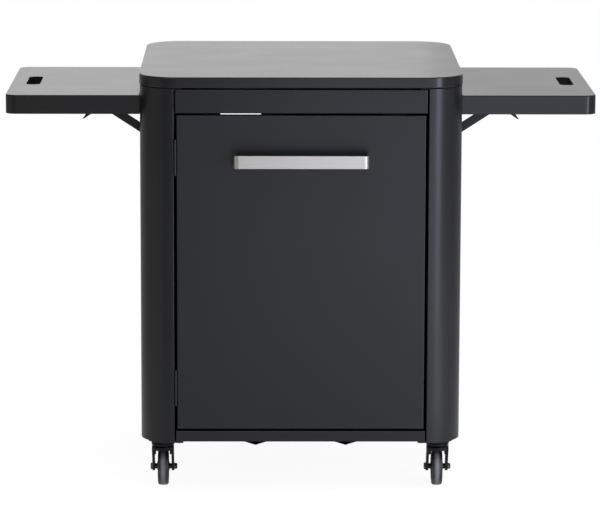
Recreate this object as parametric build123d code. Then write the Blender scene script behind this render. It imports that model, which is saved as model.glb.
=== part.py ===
from build123d import *
import os
from math import asin, atan2, cos, degrees, hypot, radians, sin

# Grill cart: a sheet-steel cabinet on four swivel casters, with a hinged door and two fold-down side shelves.
# Millimetres. +X is to the right seen from the front, the door faces -Y, +Z is up and z = 0 is the floor.

# Cabinet
BODY_WIDTH = 626.0
BODY_DEPTH = 600.0
WORK_HEIGHT = 820.0
CORNER_RADIUS = 72.0
SHEET = 1.5
PANEL_SHEET = 1.2
PANEL_BEND = 2.0
SHEET_BEND = 2.0
POST_WIDTH = 67.5
POST_RETURN = 24.0
GUSSET_SIZE = 84.0
GUSSET_THICKNESS = 3.0
GUSSET_CORNER = 14.0
SIDE_RECESS = 17.0
SIDE_RETURN = 12.0
BACK_RECESS = 2.0
BACK_RETURN = 20.0
FLOOR_RIB_X = 88.0
FLOOR_RIB_WIDTH = 52.0
FLOOR_RIB_DEPTH = 8.0
HOSE_OPENING_X = -120.5
HOSE_OPENING_RISE = 560.0
HOSE_OPENING_WIDTH = 85.0
HOSE_OPENING_HEIGHT = 60.0
HOSE_OPENING_RADIUS = 10.0

# Worktop
TOP_OVERHANG = 1.0
TOP_RIM = 21.0
TOP_LIP = 16.0
TOP_EDGE_ROUND = 2.0
SHADOW_GAP = 1.5

# Front
RAIL_SEAM = 2.0
FASCIA_HEIGHT = 46.0
FASCIA_DEPTH = 40.0
RAIL_HEIGHT = 21.5
RAIL_DEPTH = 22.0
DOOR_GAP = 4.0
DOOR_SIDE_GAP = 5.0
DOOR_DEPTH = 18.0
LINER_SHEET = 1.0
HANDLE_LENGTH = 261.0
HANDLE_HEIGHT = 25.0
HANDLE_REACH = 42.0
HANDLE_THICKNESS = 4.0
HANDLE_BEND = 10.0
HANDLE_EDGE_ROUND = 0.8
HANDLE_DROP = 72.5
HINGE_HEIGHT = 70.0
HINGE_INSET = 82.0
HINGE_LEAF = 1.0
HINGE_LEAF_WIDTH = 17.0
HINGE_KNUCKLE_RADIUS = 2.3
HINGE_PIN_RADIUS = 1.15
HINGE_AXIS_PROUD = 0.5
CATCH_LENGTH = 46.0
CATCH_DEPTH = 18.0
CATCH_HEIGHT = 14.0
CATCH_INSET = 60.0
CATCH_ROUND = 1.5
STRIKE_SHEET = 1.0
STRIKE_HEIGHT = 16.0

# Side shelves
SHELF_REACH = 261.5
SHELF_SETBACK = 78.5
SHELF_THICKNESS = 37.0
SHELF_DROP = 45.0
SHELF_GAP = 0.5
SHELF_CORNER = 22.0
SHELF_EDGE_ROUND = 2.0
APRON_NOTCH = 12.0
GRIP_WIDTH = 28.0
GRIP_LENGTH = 124.0
GRIP_RADIUS = 12.0
GRIP_INSET = 44.0

# Folding supports under the shelves
PIVOT_OUT = 10.5
PIVOT_RISE = 5.0
BRACKET_INSET = 26.5
BRACKET_PLATE = 2.0
BRACKET_BASE_WIDTH = 28.0
EAR_SHEET = 2.0
EAR_RADIUS = 5.0
STRUT_FOOT_IN = 6.0
STRUT_FOOT_DROP = 33.4
STRUT_ANGLE = 33.0
STRUT_LENGTH = 89.4
STRUT_WIDTH = 12.0
STRUT_HEIGHT = 15.0
STRUT_WALL = 1.8
SHELF_FOLD_ANGLE = 90.0
STRUT_FOLD_ANGLE = 102.6
CHANNEL_LENGTH = 142.0
CHANNEL_SHEET = 1.5
PIN_RADIUS = 3.0
PIN_HEAD_RADIUS = 5.0
PIN_HEAD = 1.5
SLOT_CLEARANCE = 0.8
SIDE_CLEARANCE = 0.5
LEVER_SHEET = 2.0
LEVER_PIVOT_OUT = 65.0
LEVER_PIVOT_RISE = 21.5
LEVER_PIVOT_RADIUS = 6.5
LEVER_PIN_RADIUS = 2.5
LEVER_REACH = 37.4
LEVER_FALL = 39.1
LEVER_BELLY_RADIUS = 6.0
LEVER_BELLY_BACK = 21.7
LEVER_PAD_WIDTH = 7.0
LEVER_PAD_LENGTH = 22.0
LEVER_PAD_START = 4.0

# Casters
CASTER_HEIGHT = 100.0
CASTER_INSET = 43.0
CASTER_TRAIL = 28.0
CASTER_FLANGE_RADIUS = 29.0
CASTER_FLANGE = 2.5
RACE_RADIUS = 22.5
RACE_HEIGHT = 9.5
RACE_GROOVE = 2.0
RACE_GROOVE_DROP = 3.2
RACE_GROOVE_DEPTH = 3.0
CASTER_ROUND = 1.5
KING_PIN_RADIUS = 5.0
KING_HEAD_RADIUS = 8.0
KING_HEAD = 2.5
CROWN_RADIUS = 22.0
CROWN_HEIGHT = 7.5
CROWN_BOSS_RADIUS = 16.0
CROWN_BOSS = 1.5
FORK_WIDTH = 43.0
FORK_SHEET = 3.0
FORK_FLANGE = 2.0
FORK_SHOULDER = 5.0
FORK_SHOULDER_DROP = 8.5
FORK_TOP_DEPTH = 23.0
FORK_EYE_RADIUS = 9.0
AXLE_RADIUS = 4.0
AXLE_HEAD_RADIUS = 6.0
AXLE_HEAD = 6.0
AXLE_HEAD_ROUND = 3.0
NUT_RADIUS = 7.0
NUT_HEIGHT = 3.5
NUT_STUB = 0.5
WHEEL_RADIUS = 37.5
WHEEL_WIDTH = 21.0
TYRE_THICKNESS = 9.0
TYRE_ROUND = 4.0
TREAD_CROWN = 1.5
HUB_BOSS_RADIUS = 9.0
HUB_BOSS_PROUD = 1.5
HUB_COLLAR_RADIUS = 5.5
HUB_WEB = 8.0
HUB_RIM = 4.0

# Clearances
FIT_GAP = 0.2
RUN_CLEARANCE = 0.05
MOVE_CLEARANCE = 0.3

# Places worked out from the sizes above
HALF_WIDTH = BODY_WIDTH / 2
HALF_DEPTH = BODY_DEPTH / 2
FRONT = -HALF_DEPTH
POST_INNER_X = HALF_WIDTH - POST_WIDTH
POST_INNER_Y = HALF_DEPTH - POST_WIDTH
RAIL_LENGTH = 2 * (POST_INNER_X - RAIL_SEAM)
RIM_BOTTOM = WORK_HEIGHT - TOP_RIM
POST_TOP = RIM_BOTTOM - SHADOW_GAP
FRAME_TOP = RIM_BOTTOM - GUSSET_THICKNESS
FRAME_BOTTOM = CASTER_HEIGHT + GUSSET_THICKNESS
FRAME_HEIGHT = FRAME_TOP - FRAME_BOTTOM
FLOOR_TOP = FRAME_BOTTOM + 2 * PANEL_SHEET
FASCIA_BOTTOM = FRAME_TOP - FASCIA_HEIGHT
DOOR_BOTTOM = FRAME_BOTTOM + RAIL_HEIGHT + DOOR_GAP
DOOR_TOP = FASCIA_BOTTOM - DOOR_GAP
DOOR_HEIGHT = DOOR_TOP - DOOR_BOTTOM
DOOR_WIDTH = 2 * (POST_INNER_X - DOOR_SIDE_GAP)
DOOR_BACK = FRONT + DOOR_DEPTH
HINGE_X = -POST_INNER_X + DOOR_SIDE_GAP / 2
HINGE_Y = FRONT - HINGE_AXIS_PROUD
HINGE_HEIGHTS = {"upper": DOOR_TOP - HINGE_INSET, "lower": DOOR_BOTTOM + HINGE_INSET}
SHELF_DEPTH = BODY_DEPTH - 2 * SHELF_SETBACK
SHELF_TOP = WORK_HEIGHT - SHELF_DROP
SHELF_BOTTOM = SHELF_TOP - SHELF_THICKNESS
PIVOT_X = HALF_WIDTH + PIVOT_OUT
BRACKET_Y = SHELF_DEPTH / 2 - BRACKET_INSET
EAR_INSIDE = STRUT_WIDTH / 2 + SIDE_CLEARANCE
EAR_OUTSIDE = EAR_INSIDE + EAR_SHEET
CHANNEL_INSIDE = EAR_OUTSIDE + SIDE_CLEARANCE
CHANNEL_OUTSIDE = CHANNEL_INSIDE + CHANNEL_SHEET
CHANNEL_TOP = SHELF_THICKNESS - SHEET
FOOT = (-PIVOT_OUT - STRUT_FOOT_IN, -PIVOT_RISE - STRUT_FOOT_DROP)
RACE_BOTTOM = CASTER_HEIGHT - CASTER_FLANGE - RACE_HEIGHT
BOSS_TOP = RACE_BOTTOM - MOVE_CLEARANCE
CROWN_TOP = BOSS_TOP - CROWN_BOSS
CROWN_BOTTOM = CROWN_TOP - CROWN_HEIGHT
FORK_INSIDE = FORK_WIDTH / 2 - FORK_SHEET
HUB_RADIUS = WHEEL_RADIUS - TYRE_THICKNESS
REACH_FRONT = HALF_DEPTH + HANDLE_REACH
REACH_REAR = HALF_DEPTH - CASTER_INSET + CASTER_TRAIL + WHEEL_RADIUS
BODY_Y = (REACH_FRONT - REACH_REAR) / 2
SIDES = {"left": -1, "right": 1}
ENDS = {"front": -1, "rear": 1}


def plate(outline, near, far):
    """An outline drawn in X and Z, given thickness from y = near to y = far."""
    return extrude(Plane.XZ.offset(-near) * outline, -(far - near))


def rod(radius, near, far):
    """A round bar along Y, from y = near to y = far."""
    return plate(Circle(radius), near, far)


def pan(width, height, depth):
    """A folded sheet: its face at y = 0, its four edges bent back to +Y, its lower edge at z = 0."""
    low = (Align.CENTER, Align.MIN, Align.MIN)
    block = Box(width, depth, height, align=low)
    block = fillet(block.faces().sort_by(Axis.Y)[0].edges(), PANEL_BEND)
    hollow = Box(width - 2 * PANEL_SHEET, depth, height - 2 * PANEL_SHEET, align=low)
    hollow = fillet(hollow.faces().sort_by(Axis.Y)[0].edges(), PANEL_BEND - PANEL_SHEET)
    return block - Pos(0, PANEL_SHEET, PANEL_SHEET) * hollow


def frame_pan(width, height, depth):
    """A pan that carries the floor on its lower return, its end returns notched where the floor passes."""
    notch = Box(width, depth, PANEL_SHEET + SHADOW_GAP, align=(Align.CENTER, Align.MIN, Align.MIN))
    return pan(width, height, depth) - Pos(0, PANEL_SHEET, PANEL_SHEET) * notch


def body_outline(inset):
    """The cabinet's plan with rounded corners, drawn in by inset."""
    return RectangleRounded(BODY_WIDTH - 2 * inset, BODY_DEPTH - 2 * inset, CORNER_RADIUS - inset)


def worktop():
    """Sheet tray turned upside down: rounded plan, rim folded down, and a narrow lip folded in under it."""
    block = extrude(Pos(0, 0, RIM_BOTTOM) * body_outline(-TOP_OVERHANG), TOP_RIM)
    block = fillet(block.edges().group_by(Axis.Z)[-1], TOP_EDGE_ROUND)
    block = fillet(block.edges().group_by(Axis.Z)[0], SHEET_BEND)
    hollow = body_outline(SHEET - TOP_OVERHANG)
    cavity = extrude(Pos(0, 0, RIM_BOTTOM + SHEET) * hollow, TOP_RIM - 2 * SHEET)
    mouth = extrude(Pos(0, 0, RIM_BOTTOM) * body_outline(TOP_LIP), SHEET)
    return block - cavity - mouth


def post(side, end):
    """Corner post: curved sheet, with its two upright edges returned into the cabinet."""
    window = Pos(side * (HALF_WIDTH - POST_WIDTH / 2), end * (HALF_DEPTH - POST_WIDTH / 2))
    corner = body_outline(0) & window * Rectangle(POST_WIDTH, POST_WIDTH)
    inside = (side * POST_INNER_X, end * POST_INNER_Y)
    corner = fillet(corner.vertices().sort_by_distance(inside)[1:], SHEET_BEND)
    skin = corner - body_outline(SHEET)
    face_edge = Pos(side * (POST_INNER_X + SHEET / 2), end * (HALF_DEPTH - POST_RETURN / 2))
    side_edge = Pos(side * (HALF_WIDTH - POST_RETURN / 2), end * (POST_INNER_Y + SHEET / 2))
    edges = face_edge * Rectangle(SHEET, POST_RETURN) + side_edge * Rectangle(POST_RETURN, SHEET)
    returns_bottom = FLOOR_TOP + SHADOW_GAP
    returns_top = FRAME_TOP - SHADOW_GAP
    shell = extrude(Pos(0, 0, CASTER_HEIGHT) * skin, POST_TOP - CASTER_HEIGHT)
    returns = extrude(Pos(0, 0, returns_bottom) * (edges & corner), returns_top - returns_bottom)
    return shell + returns


def gussets(bottom):
    """The four corner plates that tie posts, rails and panels together at one level."""
    plates = []
    for side in SIDES.values():
        for end in ENDS.values():
            place = Pos(side * (HALF_WIDTH - GUSSET_SIZE / 2), end * (HALF_DEPTH - GUSSET_SIZE / 2))
            plan = body_outline(SHEET + FIT_GAP) & place * Rectangle(GUSSET_SIZE, GUSSET_SIZE)
            plan = fillet(plan.vertices().sort_by_distance((0, 0))[0], GUSSET_CORNER)
            plates.append(extrude(Pos(0, 0, bottom) * plan, GUSSET_THICKNESS).solid())
    return Compound(plates)


def side_panel(side):
    """Side wall: a pan set back between the posts, its edges against their returned edges."""
    wall = frame_pan(2 * (POST_INNER_Y - SHEET), FRAME_HEIGHT, SIDE_RETURN)
    return Pos(side * (HALF_WIDTH - SIDE_RECESS), 0, FRAME_BOTTOM) * Rot(0, 0, side * 90) * wall


def back_panel():
    """Rear wall between the posts, with a rounded opening for a gas hose."""
    wall = frame_pan(2 * POST_INNER_X, FRAME_HEIGHT, BACK_RETURN) - floor_rib_relief(BACK_RETURN)
    wall = Pos(0, HALF_DEPTH - BACK_RECESS, FRAME_BOTTOM) * Rot(0, 0, 180) * wall
    opening = RectangleRounded(HOSE_OPENING_WIDTH, HOSE_OPENING_HEIGHT, HOSE_OPENING_RADIUS)
    hole = plate(opening, HALF_DEPTH - BACK_RETURN, HALF_DEPTH)
    return wall - Pos(HOSE_OPENING_X, 0, FRAME_BOTTOM + HOSE_OPENING_RISE) * hole


def floor_panel():
    """Floor sheet lying on the rail's and the panels' lower returns, with two V ribs pressed down."""
    half = HALF_WIDTH - SIDE_RECESS - PANEL_BEND - FIT_GAP
    rear = HALF_DEPTH - BACK_RECESS - PANEL_BEND - FIT_GAP
    front = FRONT + PANEL_BEND + FIT_GAP
    upper = [(-half, 0)]
    for x in (-FLOOR_RIB_X, FLOOR_RIB_X):
        upper += [(x - FLOOR_RIB_WIDTH / 2, 0), (x, -FLOOR_RIB_DEPTH), (x + FLOOR_RIB_WIDTH / 2, 0)]
    upper += [(half, 0)]
    lower = [(x, z - PANEL_SHEET) for x, z in reversed(upper)]
    section = make_face(Polyline(upper + lower, close=True).edges())
    sheet = plate(Pos(0, FLOOR_TOP) * section, front, rear)
    plan = Pos(0, (front + rear) / 2) * RectangleRounded(2 * half, rear - front, CORNER_RADIUS)
    trim_height = FLOOR_RIB_DEPTH + 2 * PANEL_SHEET
    return sheet & extrude(Pos(0, 0, FLOOR_TOP - trim_height) * plan, 2 * trim_height)


def floor_rib_relief(depth):
    """The cuts in a pan's lower return that let the floor's ribs pass."""
    width = FLOOR_RIB_WIDTH + 2 * SHADOW_GAP
    room = Box(width, depth, PANEL_SHEET, align=(Align.CENTER, Align.MIN, Align.MIN))
    return Pos(-FLOOR_RIB_X, PANEL_BEND) * room + Pos(FLOOR_RIB_X, PANEL_BEND) * room


def front_fascia():
    """Folded rail across the front above the door, between the posts."""
    return Pos(0, FRONT, FASCIA_BOTTOM) * pan(RAIL_LENGTH, FASCIA_HEIGHT, FASCIA_DEPTH)


def front_bottom_rail():
    """Folded rail below the door."""
    rail = frame_pan(RAIL_LENGTH, RAIL_HEIGHT, RAIL_DEPTH) - floor_rib_relief(RAIL_DEPTH)
    return Pos(0, FRONT, FRAME_BOTTOM) * rail


def door_catch():
    """Magnetic catch under the fascia's lower return, above the door's free corner."""
    place = Pos(DOOR_WIDTH / 2 - CATCH_INSET, DOOR_BACK + STRIKE_SHEET + MOVE_CLEARANCE, FASCIA_BOTTOM)
    case = Box(CATCH_LENGTH, CATCH_DEPTH, CATCH_HEIGHT, align=(Align.CENTER, Align.MIN, Align.MAX))
    return place * fillet(case.edges().filter_by(Axis.Y), CATCH_ROUND)


def catch_strike():
    """Steel plate on the back of the door, facing the catch."""
    place = Pos(DOOR_WIDTH / 2 - CATCH_INSET, DOOR_BACK, DOOR_TOP - DOOR_GAP - STRIKE_HEIGHT / 2)
    return place * plate(RectangleRounded(CATCH_LENGTH, STRIKE_HEIGHT, CATCH_ROUND), 0, STRIKE_SHEET)


def hinge_leaf(level, moving):
    """Butt hinge leaf: two outer knuckles on the frame, or the middle one on the door."""
    third = HINGE_HEIGHT / 3
    low = -HINGE_HEIGHT / 2
    if moving:
        spans = [(low + third + MOVE_CLEARANCE, low + 2 * third - MOVE_CLEARANCE)]
    else:
        spans = [(low, low + third), (low + 2 * third, low + 3 * third)]
    side = 1 if moving else -1
    sheet = Pos(side * (DOOR_SIDE_GAP - HINGE_LEAF) / 2, 0)
    neck = HINGE_KNUCKLE_RADIUS + MOVE_CLEARANCE
    along_axis = (Align.CENTER, Align.MIN, Align.CENTER)
    leaf = sheet * Pos(0, neck) * Box(HINGE_LEAF, HINGE_LEAF_WIDTH - neck, HINGE_HEIGHT, align=along_axis)
    for bottom, top in spans:
        tongue = Box(HINGE_LEAF, neck, top - bottom, align=along_axis)
        leaf += sheet * Pos(0, 0, (bottom + top) / 2) * tongue
        leaf += extrude(Pos(0, 0, bottom) * Circle(HINGE_KNUCKLE_RADIUS), top - bottom)
    bore = Cylinder(HINGE_PIN_RADIUS + RUN_CLEARANCE, HINGE_HEIGHT)
    return Pos(HINGE_X, HINGE_Y, HINGE_HEIGHTS[level]) * (leaf - bore)


def hinge_pins():
    """The two pins that the door turns on."""
    pin = Cylinder(HINGE_PIN_RADIUS, HINGE_HEIGHT)
    return Compound([Pos(HINGE_X, HINGE_Y, z) * pin.solid() for z in HINGE_HEIGHTS.values()])


def door_panel():
    """Outer pan of the door."""
    return Pos(0, FRONT, DOOR_BOTTOM) * pan(DOOR_WIDTH, DOOR_HEIGHT, DOOR_DEPTH)


def door_liner():
    """Flat sheet that closes the door's back, inside the pan's returned edges."""
    edge = 2 * (PANEL_SHEET + MOVE_CLEARANCE)
    sheet = plate(Rectangle(DOOR_WIDTH - edge, DOOR_HEIGHT - edge), DOOR_BACK - LINER_SHEET, DOOR_BACK)
    return Pos(0, 0, DOOR_BOTTOM + DOOR_HEIGHT / 2) * sheet


def door_handle():
    """Flat bar bent twice, its two legs standing on the door."""
    def bow(length, reach, bend):
        outline = Pos(0, FRONT - reach / 2) * Rectangle(length, reach)
        return fillet(outline.vertices().group_by(Axis.Y)[0], bend)

    outer = bow(HANDLE_LENGTH, HANDLE_REACH, HANDLE_BEND)
    inner = bow(
        HANDLE_LENGTH - 2 * HANDLE_THICKNESS, HANDLE_REACH - HANDLE_THICKNESS, HANDLE_BEND - HANDLE_THICKNESS
    )
    bar = extrude(outer - inner, HANDLE_HEIGHT)
    front_edges = bar.edges().filter_by(Axis.X).group_by(Axis.Y)[0]
    bar = fillet(front_edges, HANDLE_EDGE_ROUND)
    return Pos(0, 0, DOOR_TOP - HANDLE_DROP - HANDLE_HEIGHT) * bar


def shelf_plan(inset):
    """Plan of the right shelf, drawn in by inset, with its outer corners rounded."""
    start = HALF_WIDTH + SHELF_GAP + inset
    length = SHELF_REACH - 2 * inset
    plan = Pos(start + length / 2, 0) * Rectangle(length, SHELF_DEPTH - 2 * inset)
    return fillet(plan.vertices().group_by(Axis.X)[-1], SHELF_CORNER - inset)


def shelf_tray():
    """Right side shelf: a sheet tray open below, with a grip slot near its outer edge."""
    tray = extrude(Pos(0, 0, SHELF_BOTTOM) * shelf_plan(0), SHELF_THICKNESS)
    tray = fillet(tray.edges().group_by(Axis.Z)[-1], SHELF_EDGE_ROUND)
    tray -= extrude(Pos(0, 0, SHELF_BOTTOM) * shelf_plan(SHEET), SHELF_THICKNESS - SHEET)
    notch = Box(SHEET, SHELF_DEPTH - 2 * SHEET, APRON_NOTCH, align=(Align.MIN, Align.CENTER, Align.MIN))
    tray -= Pos(HALF_WIDTH + SHELF_GAP, 0, SHELF_BOTTOM) * notch
    grip_x = HALF_WIDTH + SHELF_GAP + SHELF_REACH - GRIP_INSET
    grip = RectangleRounded(GRIP_WIDTH, GRIP_LENGTH, GRIP_RADIUS)
    return tray - extrude(Pos(grip_x, 0, SHELF_BOTTOM) * grip, SHELF_THICKNESS)


def strut_tip(fold):
    """Where the strut's sliding pin lies, from the shelf's pivot, in the shelf's own axes."""
    turn = radians(fold)
    foot = (FOOT[0] * cos(turn) - FOOT[1] * sin(turn), FOOT[0] * sin(turn) + FOOT[1] * cos(turn))
    angle = radians(STRUT_ANGLE + fold - fold * STRUT_FOLD_ANGLE / SHELF_FOLD_ANGLE)
    return (foot[0] + STRUT_LENGTH * cos(angle), foot[1] + STRUT_LENGTH * sin(angle))


def wall_bracket():
    """Base plate on the side panel, with two ears that carry the shelf's pivot and the strut's foot."""
    back = -PIVOT_OUT - SIDE_RECESS
    low = FOOT[1] - STRUT_HEIGHT
    high = 2 * EAR_RADIUS
    spine = Pos(back + BRACKET_PLATE / 2, (low + high) / 2) * Rectangle(BRACKET_PLATE, high - low)
    eye = Circle(EAR_RADIUS)
    arm = Pos(back / 2, 0) * Rectangle(-back, 2 * EAR_RADIUS) + eye
    ear = make_hull(spine.edges() + (Pos(*FOOT) * eye).edges()) + arm
    ears = plate(ear, -EAR_OUTSIDE, -EAR_INSIDE) + plate(ear, EAR_INSIDE, EAR_OUTSIDE)
    bracket = ears + plate(spine, -BRACKET_BASE_WIDTH / 2, BRACKET_BASE_WIDTH / 2)
    bore = Circle(PIN_RADIUS + RUN_CLEARANCE)
    return bracket - plate(bore + Pos(*FOOT) * bore, -BRACKET_BASE_WIDTH, BRACKET_BASE_WIDTH)


def rivet(half_length):
    """Pivot pin with a flat head at each end, its grip from -half_length to +half_length."""
    end = half_length + MOVE_CLEARANCE
    heads = rod(PIN_HEAD_RADIUS, -end - PIN_HEAD, -end) + rod(PIN_HEAD_RADIUS, end, end + PIN_HEAD)
    return rod(PIN_RADIUS, -end, end) + heads


def bracket_pins():
    """Shelf pivot pin and strut foot pin of one bracket."""
    return rivet(CHANNEL_OUTSIDE) + Pos(FOOT[0], 0, FOOT[1]) * rivet(EAR_OUTSIDE)


def guide_channel():
    """Channel under the shelf: walls on the pivot, a curved slot for the strut's pin, a lever stud."""
    start = SHEET + MOVE_CLEARANCE + SHELF_GAP - PIVOT_OUT
    middle = start + CHANNEL_LENGTH / 2
    wall = Pos(middle, CHANNEL_TOP / 2 - PIVOT_RISE) * Rectangle(CHANNEL_LENGTH, CHANNEL_TOP)
    wall = chamfer(wall.vertices().group_by(Axis.X)[-1].sort_by(Axis.Y)[0], CHANNEL_TOP / 2)
    slot_line = ThreePointArc(strut_tip(0), strut_tip(SHELF_FOLD_ANGLE / 2), strut_tip(SHELF_FOLD_ANGLE))
    slot = SlotArc(slot_line, 2 * (PIN_RADIUS + SLOT_CLEARANCE))
    wall = wall - slot - Circle(PIN_RADIUS + RUN_CLEARANCE)
    web_middle = CHANNEL_TOP - CHANNEL_SHEET / 2 - PIVOT_RISE
    web = Pos(middle, web_middle) * Rectangle(CHANNEL_LENGTH, CHANNEL_SHEET)
    channel = plate(wall, -CHANNEL_OUTSIDE, -CHANNEL_INSIDE) + plate(wall, CHANNEL_INSIDE, CHANNEL_OUTSIDE)
    channel += plate(web, -CHANNEL_OUTSIDE, CHANNEL_OUTSIDE)
    stud_end = CHANNEL_OUTSIDE + SIDE_CLEARANCE + LEVER_SHEET + MOVE_CLEARANCE
    stud = rod(LEVER_PIN_RADIUS, -stud_end, -CHANNEL_INSIDE)
    stud += rod(PIN_HEAD_RADIUS, -stud_end - PIN_HEAD, -stud_end)
    return channel + Pos(LEVER_PIVOT_OUT, 0, LEVER_PIVOT_RISE) * stud


def strut():
    """Diagonal support from the foot pin to the sliding pin: a folded channel with round ends, open below."""
    along = Pos(*FOOT) * Rot(0, 0, STRUT_ANGLE)
    bar = along * Pos(STRUT_LENGTH / 2, 0) * SlotCenterToCenter(STRUT_LENGTH, STRUT_HEIGHT)
    pocket_length = STRUT_LENGTH - 2 * STRUT_HEIGHT
    pocket_height = STRUT_HEIGHT - STRUT_WALL
    pocket = along * Pos(STRUT_LENGTH / 2, -STRUT_WALL / 2) * Rectangle(pocket_length, pocket_height)
    bore = Circle(PIN_RADIUS + RUN_CLEARANCE)
    bores = along * bore + along * Pos(STRUT_LENGTH, 0) * bore
    half = STRUT_WIDTH / 2
    inside = half - STRUT_WALL
    return plate(bar - bores, -half, half) - plate(pocket, -inside, inside)


def strut_pin():
    """The pin at the strut's upper end, which slides in the channel's slots."""
    x, z = strut_tip(0)
    return Pos(x, 0, z) * rod(PIN_RADIUS, -CHANNEL_OUTSIDE, CHANNEL_OUTSIDE)


def release_lever():
    """Claw-shaped finger lever on the channel's stud, with a pad folded out along its lower edge."""
    tip = (LEVER_REACH, -LEVER_FALL)
    belly = (LEVER_REACH - LEVER_BELLY_BACK, LEVER_BELLY_BACK - LEVER_FALL)
    behind_tip = (tip[0] - LEVER_SHEET, tip[1] + LEVER_SHEET)
    rounds = Circle(LEVER_PIVOT_RADIUS).edges() + (Pos(*belly) * Circle(LEVER_BELLY_RADIUS)).edges()
    claw = make_hull(rounds + [Line(behind_tip, tip)]) - Circle(LEVER_PIN_RADIUS + RUN_CLEARANCE)
    to_belly = (belly[0] - tip[0], belly[1] - tip[1])
    edge_angle = atan2(to_belly[1], to_belly[0]) + asin(LEVER_BELLY_RADIUS / hypot(*to_belly))
    along_edge = Pos(*tip) * Rot(0, 0, degrees(edge_angle))
    pad_middle = LEVER_PAD_START + LEVER_PAD_LENGTH / 2
    pad = along_edge * Pos(pad_middle, -LEVER_SHEET / 2) * Rectangle(LEVER_PAD_LENGTH, LEVER_SHEET)
    near = -CHANNEL_OUTSIDE - SIDE_CLEARANCE - LEVER_SHEET
    lever = plate(claw, near, near + LEVER_SHEET) + plate(pad, near - LEVER_PAD_WIDTH, near + LEVER_SHEET)
    return Pos(LEVER_PIVOT_OUT, 0, LEVER_PIVOT_RISE) * lever


def at_bracket(shape, side, end):
    """A support's piece, drawn for the front of the right shelf about its pivot, put at its own corner."""
    shape = Pos(PIVOT_X, -BRACKET_Y, SHELF_BOTTOM + PIVOT_RISE) * shape
    if end > 0:
        shape = shape.mirror(Plane.XZ)
    if side < 0:
        shape = shape.mirror(Plane.YZ)
    return shape


def disc(radius, low, high):
    """An upright round disc from z = low to z = high."""
    return extrude(Pos(0, 0, low) * Circle(radius), high - low)


def caster_mount():
    """Flange under the gusset, with the grooved fixed half of the swivel race and the king pin."""
    flange_bottom = CASTER_HEIGHT - CASTER_FLANGE
    groove_top = flange_bottom - RACE_GROOVE_DROP
    race = disc(RACE_RADIUS, RACE_BOTTOM, flange_bottom)
    race = fillet(race.edges().group_by(Axis.Z)[0], CASTER_ROUND)
    groove = disc(RACE_RADIUS, groove_top - RACE_GROOVE, groove_top)
    race -= groove - disc(RACE_RADIUS - RACE_GROOVE_DEPTH, groove_top - RACE_GROOVE, groove_top)
    pin_bottom = CROWN_BOTTOM - MOVE_CLEARANCE
    pin = disc(KING_PIN_RADIUS, pin_bottom, RACE_BOTTOM)
    head = disc(KING_HEAD_RADIUS, pin_bottom - KING_HEAD, pin_bottom)
    return disc(CASTER_FLANGE_RADIUS, flange_bottom, CASTER_HEIGHT) + race + pin + head


def on_axle(outline, left, right):
    """An outline about the wheel's axle, drawn in Y and Z, given thickness from x = left to x = right."""
    return extrude(Plane.YZ.offset(left) * Pos(CASTER_TRAIL, WHEEL_RADIUS) * outline, right - left)


def caster_fork():
    """Pressed fork: a crown that turns on the king pin and two flanged legs that trail back to the axle."""
    crown = disc(CROWN_RADIUS, CROWN_BOTTOM, CROWN_TOP)
    crown = fillet(crown.edges().group_by(Axis.Z)[-1], CASTER_ROUND)
    crown += disc(CROWN_BOSS_RADIUS, CROWN_TOP, BOSS_TOP)
    shoulder_z = (CROWN_BOTTOM + CROWN_TOP) / 2 - WHEEL_RADIUS
    shoulder = Pos(-CASTER_TRAIL, shoulder_z) * Rectangle(FORK_TOP_DEPTH, CROWN_HEIGHT - 2 * CASTER_ROUND)
    leg = make_hull(shoulder.edges() + Circle(FORK_EYE_RADIUS).edges())
    flange = leg - offset(leg, -FORK_SHEET)
    block_z = CROWN_BOTTOM - FORK_SHOULDER_DROP / 2 - WHEEL_RADIUS
    block = Pos(-CASTER_TRAIL, block_z) * Rectangle(FORK_TOP_DEPTH, FORK_SHOULDER_DROP)
    right_leg = on_axle(leg, FORK_INSIDE, FORK_WIDTH / 2)
    right_leg += on_axle(flange, FORK_INSIDE - FORK_FLANGE, FORK_INSIDE)
    right_leg += on_axle(block, FORK_INSIDE - FORK_SHOULDER, FORK_INSIDE)
    axle_bore = on_axle(Circle(AXLE_RADIUS + RUN_CLEARANCE), -FORK_WIDTH, FORK_WIDTH)
    king_bore = disc(KING_PIN_RADIUS + RUN_CLEARANCE, CROWN_BOTTOM, BOSS_TOP)
    return crown + right_leg + right_leg.mirror(Plane.YZ) - axle_bore - king_bore


def caster_axle():
    """Axle bolt with a domed head, and its nut."""
    side = FORK_WIDTH / 2
    head = on_axle(Circle(AXLE_HEAD_RADIUS), side, side + AXLE_HEAD)
    head = fillet(head.edges().group_by(Axis.X)[-1], AXLE_HEAD_ROUND)
    bolt = head + on_axle(Circle(AXLE_RADIUS), -side - NUT_HEIGHT - NUT_STUB, side)
    hexagon = RegularPolygon(NUT_RADIUS, 6) - Circle(AXLE_RADIUS + RUN_CLEARANCE)
    return bolt + on_axle(hexagon, -side - NUT_HEIGHT, -side)


def wheel_tyre():
    """Solid tyre with a crowned tread and rounded shoulders."""
    half = WHEEL_WIDTH / 2
    edge = WHEEL_RADIUS - TREAD_CROWN
    walls = Polyline((half, edge), (half, HUB_RADIUS), (-half, HUB_RADIUS), (-half, edge))
    tread = ThreePointArc((-half, edge), (0, WHEEL_RADIUS), (half, edge))
    section = make_face(walls.edges() + tread.edges())
    section = fillet(section.vertices().group_by(Axis.Y)[-1], TYRE_ROUND)
    return Pos(0, CASTER_TRAIL, WHEEL_RADIUS) * revolve(Plane.XZ * section, Axis.X)


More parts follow.
